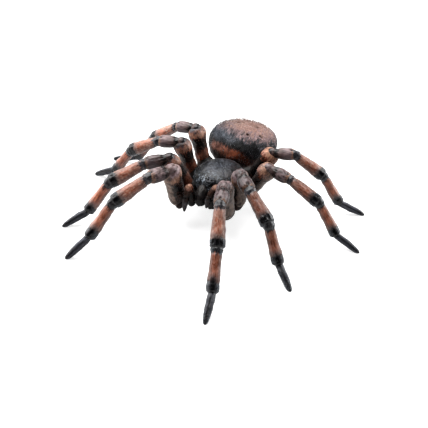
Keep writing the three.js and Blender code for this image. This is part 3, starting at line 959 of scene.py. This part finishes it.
def make_abdomen(seed):
    unit, faces = unit_ball(BODY_ROWS, BODY_AROUND)
    points = abdomen_points(unit)
    outward = unit_rows(points - ABDOMEN_PLACE)
    pit = np.zeros(len(points))
    flat = (points - ABDOMEN_PLACE)[:, :2]
    for dimple in DIMPLES:
        reach = np.linalg.norm(flat - dimple, axis=1)
        pit += bell(reach, 0, DIMPLE_RADIUS) * (unit[:, 2] > 0)
    lumps = 0.25 * smooth_noise(points * 0.22, seed) + 0.12 * smooth_noise(points * 0.7, seed + 1)
    hair = 0.1 * smooth_noise(points * [1.5, 0.6, 1.5], seed + 2)
    relief = lumps + hair - DIMPLE_DEPTH * pit
    skin = Skin(
        points + outward * relief[:, None],
        faces,
        **abdomen_marks(unit),
        pit=np.clip(DIMPLE_PAINT * pit, 0, 1),
        stroke=np.zeros(len(points)),
        rest=points,
    )
    skin.join(abdomen_strokes(seed))
    for hand in (1, -1):
        skin.join(spinneret(hand, seed + hand))
    return skin


def abdomen_strokes(seed):
    rng = np.random.default_rng(seed)
    count = ABDOMEN_STROKES["count"]
    unit = unit_rows(rng.normal(size=(count, 3)))
    roots = abdomen_points(unit)
    outward = unit_rows(roots - ABDOMEN_PLACE)
    backward = STROKE_WAY + STROKE_SCATTER * rng.normal(size=(count, 3))
    points, faces, size = strokes_on(roots, outward, backward, ABDOMEN_STROKES, seed)
    marks = {name: np.repeat(values, size) for name, values in abdomen_marks(unit).items()}
    pale = np.repeat(ABDOMEN_STROKES["pale"] * rng.uniform(0, 1, count) ** 2, size)
    return Skin(points, faces, **marks, stroke=pale, rest=np.repeat(roots, size, axis=0))


def spinneret(hand, seed):
    length, radius = SPINNERET["length"], SPINNERET["radius"]
    side = hand * SPINNERET["side"] / ABDOMEN["half_width"]
    drop = SPINNERET["drop"] / ABDOMEN["bottom"]
    root = abdomen_points(np.array([[side, SPINNERET["behind"], -drop]]))[0]
    outward, upward = SPINNERET_SPLAY
    matrix, _ = aimed(root, root + np.array([hand * outward, length, upward]))
    stations = [(0, 0), (0.1, radius), (length / 2, radius), (length, SPINNERET["tip"]), (length + 0.3, 0)]
    return limb(stations, length, matrix, seed, around=FEWER_AROUND)


def shield_points(unit):
    """The head shield's points: blunt above, narrower and higher in front, with a dent behind its middle."""
    front = np.maximum(0, -unit[:, 1])
    back = np.maximum(0, unit[:, 1])
    narrow = 1 - SHIELD_NARROWING * front * front
    behind = (unit[:, 1] - FOVEA["behind"]) / FOVEA["half_length"]
    dent = np.exp(-((unit[:, 0] / FOVEA["half_width"]) ** 2) - behind**2)
    upper = np.abs(unit[:, 2]) ** SHIELD_BLUNTNESS * (1 + SHIELD_BROW * front - SHIELD_DROP * back)
    upper = upper - FOVEA["depth"] * dent
    blunt = np.where(unit[:, 2] > 0, upper * SHIELD["dome"], unit[:, 2] * SHIELD["belly"])
    x = unit[:, 0] * SHIELD["half_width"] * narrow
    y = SHIELD["back"] + unit[:, 1] * SHIELD["half_length"]
    return np.stack([x, y, SHIELD["height"] + blunt], axis=1)


SHIELD_CENTRE = np.array([0, SHIELD["back"], SHIELD["height"] - RELIEF_DROP])


def make_shield(seed):
    unit, faces = unit_ball(BODY_ROWS, BODY_AROUND)
    points = shield_points(unit)
    outward = unit_rows(points - SHIELD_CENTRE)
    behind = unit[:, 1] - FOVEA["behind"]
    turn = np.arctan2(unit[:, 0], behind)
    spread = np.hypot(unit[:, 0], behind)
    top = np.clip(unit[:, 2] * 3, 0, 1)
    furrows = bell(np.sin(turn * FURROWS / 2), 0, FURROW_WIDTH)
    radial = -FURROW_DEPTH * furrows * np.clip((spread - FURROW_START) / FURROW_FADE, 0, 1)
    lumps = 0.05 * smooth_noise(points * 0.6, seed) + 0.05 * smooth_noise(points * 1.8, seed + 1)
    relief = top * radial + lumps
    skin = Skin(
        points + outward * relief[:, None],
        faces,
        height=unit[:, 2],
        side=unit[:, 0],
        # where the painted glints lie: across the front, more on the right
        painted_glints=np.clip((-unit[:, 1] - 0.3) / 0.3, 0, 1) * np.clip(0.7 - 0.9 * unit[:, 0], 0.3, 1),
        pit=0.5 * top * bell(spread, 0, 0.12),
        stroke=np.zeros(len(points)),
        rest=points,
    )
    skin.join(shield_strokes(seed))
    skin.join(eye_mound(seed))
    return skin


def shield_strokes(seed):
    rng = np.random.default_rng(seed)
    count = SHIELD_STROKES["count"]
    unit = rng.normal(size=(count, 3))
    unit[:, 2] = np.abs(unit[:, 2])
    unit = unit_rows(unit)
    roots = shield_points(unit)
    outward = unit_rows(roots - SHIELD_CENTRE)
    radial = roots - np.array([0, SHIELD["back"] + STROKES_BEHIND, SHIELD["height"] + SHIELD["dome"]])
    points, faces, size = strokes_on(roots, outward, radial, SHIELD_STROKES, seed)
    pale = np.repeat(rng.uniform(0, SHIELD_STROKES["pale"], count) ** 2, size)
    height = np.repeat(unit[:, 2], size)
    return Skin(points, faces, height=height, stroke=pale, rest=np.repeat(roots, size, axis=0))


def eye_mound(seed):
    """The low mound with its eight eyes."""
    unit, faces = unit_ball(*MOUND_GRID)
    centre = np.array([0, -EYE_MOUND["forward"], EYE_MOUND["height"]])
    size = EYE_MOUND["radius"] * EYE_MOUND_SHAPE
    points = centre + unit * size
    points += unit * (0.1 * smooth_noise(points * 1.5, seed))[:, None]
    mound = Skin(points, faces, height=np.full(len(points), 0.9), rest=points)
    for side, forward, radius in EYES:
        for hand in (1, -1):
            ball, ball_faces = unit_ball(*EYE_GRID)
            flat = np.array([hand * side, -forward])
            rise = math.sqrt(max(0.1, 1 - (flat[0] / size[0]) ** 2 - (flat[1] / size[1]) ** 2))
            seat = centre + np.array([flat[0], flat[1], rise * size[2] * EYE_SEAT])
            eye = seat + ball * radius * EYE_SIZE
            mound.join(Skin(eye, ball_faces, height=np.zeros(len(eye)), rest=eye))
    return mound


def make_waist(paint):
    start = (0, WAIST["from"], WAIST["height"])
    end = (0, WAIST["to"], WAIST["height"])
    matrix, length = aimed(start, end)
    radius, bevel = WAIST["radius"], WAIST["bevel"]
    stations = [(0, 0), (bevel, radius), (length - bevel, radius), (length, 0)]
    place("waist_skin", limb(stations, length, matrix, WAIST_SEED), paint, ["waist"])


# Mouthparts


def jaw_ends(hand):
    """Root and tip of a jaw; the two close in a little towards their tips."""
    root = np.array([hand * CHELICERA["side"], *CHELICERA["root"]])
    tip = np.array([hand * (CHELICERA["side"] - JAWS_CLOSING), *CHELICERA["tip"]])
    return root, tip


def make_jaw(side, hand, paint):
    root, tip = jaw_ends(hand)
    matrix, length = aimed(root, tip)
    stations = [(share * length, part * CHELICERA["half_width"]) for share, part in CHELICERA_PROFILE]
    skin = limb(stations, length, matrix, JAW_SEED + hand, depth=CHELICERA["depth"])
    place(f"chelicera_{side}_skin", skin, paint, [f"chelicera_{side}"])


def make_fang(side, hand, paint):
    _, tip = jaw_ends(hand)
    root = tip + FANG_SEAT
    matrix, _ = aimed(root, root + FANG_WAY)
    reach = FANG["reach"]
    stations = [(at, part * FANG["radius"]) for at, part in FANG_PROFILE]
    stations += [(reach, FANG_TIP), (reach + 0.1, 0)]
    skin = limb(stations, reach, matrix, FANG_SEED + hand, around=FEWER_AROUND, step=FANG_STEP)
    place(f"fang_{side}_skin", skin, paint, [f"fang_{side}"])


def make_palp(side, hand, paint):
    """Three limbs of one palp, each with its share of the painted bands."""
    points = PALPS[side]
    whole = None
    for i in range(3):
        matrix, length = aimed(points[i], points[i + 1])
        start, end = PALP_RADII[i], PALP_RADII[i + 1]
        middle = (length * PALP_SWELL["at"], PALP_SWELL["by"] * max(start, end))
        before, after = -PALP_END * start, length + PALP_END * end
        stations = [(before, 0), (0, start), middle, (length, end), (after, 0)]
        seed = PALP_SEED + PALP_SEED_STEP * hand + i
        part = limb(stations, length, matrix, seed, around=PALP_AROUND, shade=PALP_PAINTED_LIGHT[side])
        part.marks["along"] = (i + np.clip(part.marks["along"], 0, 1)) / 3
        whole = whole.join(part) if whole else part
    place(f"pedipalp_{side}_skin", whole, paint, [f"pedipalp_{side}"])


# Stage


def make_floor():
    bpy.ops.mesh.primitive_plane_add(size=FLOOR_SIZE, location=(0, 0, 0))
    floor = bpy.context.object
    floor.name = "floor"
    floor.data.materials.append(floor_paint())


def area_light(name, place_at, aim_at, size, watts):
    light = bpy.data.lights.new(name, "AREA")
    light.shape = "DISK"
    light.size = size
    light.energy = watts
    lamp = put(name, light)
    lamp.location = place_at
    lamp.rotation_euler = (Vector(aim_at) - Vector(place_at)).to_track_quat("-Z", "Y").to_euler()


def make_lights():
    """A dim room, a white backdrop that only the camera sees, the softbox above and two edge lights."""
    world = bpy.data.worlds.new("studio")
    world.use_nodes = True
    tree = world.node_tree
    tree.nodes.clear()
    room = add(tree, "ShaderNodeBackground", {"Color": (1, 1, 1, 1), "Strength": ROOM_LIGHT})
    backdrop = add(tree, "ShaderNodeBackground", {"Color": (1, 1, 1, 1), "Strength": 1.0})
    seen = add(tree, "ShaderNodeLightPath").outputs["Is Camera Ray"]
    shown = add(tree, "ShaderNodeMixShader", {0: seen, 1: room.outputs[0], 2: backdrop.outputs[0]})
    add(tree, "ShaderNodeOutputWorld", {"Surface": shown.outputs[0]})
    bpy.context.scene.world = world
    area_light("top_softbox", SOFTBOX_PLACE, (0, 0, 0), SOFTBOX_SIZE, SOFTBOX_WATTS)
    for number, (edge_place, watts) in enumerate(EDGE_LIGHTS):
        area_light(f"edge_softbox_{number + 1}", edge_place, EDGE_AIM, EDGE_SIZE, watts)


def make_camera():
    azimuth, elevation = math.radians(CAMERA_AZIMUTH), math.radians(CAMERA_ELEVATION)
    level = math.cos(elevation)
    back = np.array([math.sin(azimuth) * level, -math.cos(azimuth) * level, math.sin(elevation)])
    target = LOOK_AT + [SHIFT[0], SHIFT[1], 0]
    camera = put("camera", bpy.data.cameras.new("camera"))
    camera.location = (target + CAMERA_DISTANCE * back) * MM
    camera.rotation_euler = Vector(-back).to_track_quat("-Z", "Y").to_euler()
    camera.data.sensor_width = SENSOR_WIDTH
    camera.data.lens = CAMERA_LENS
    camera.data.clip_start = CAMERA_NEAREST
    bpy.context.scene.camera = camera


# The whole specimen

paints = leg_paints()
black_paint = jaw_paint()
place("cephalothorax_skin", make_shield(SHIELD_SEED), shield_paint(), ["cephalothorax"])
place("abdomen_skin", make_abdomen(ABDOMEN_SEED), abdomen_paint(), ["abdomen"])
make_waist(black_paint)
horn = fang_paint()
palps = palp_paint()
for side, hand in (("left", 1), ("right", -1)):
    make_jaw(side, hand, black_paint)
    make_fang(side, hand, horn)
    make_palp(side, hand, palps)
    for number in range(len(LEG_PAIRS)):
        seed = LEG_SEED + LEG_SEED_STEP * number + (LEFT_SEED if side == "left" else 0)
        make_leg(side, number, seed, paints)

make_floor()
make_lights()
make_camera()
bpy.context.scene.view_settings.view_transform = "Standard"
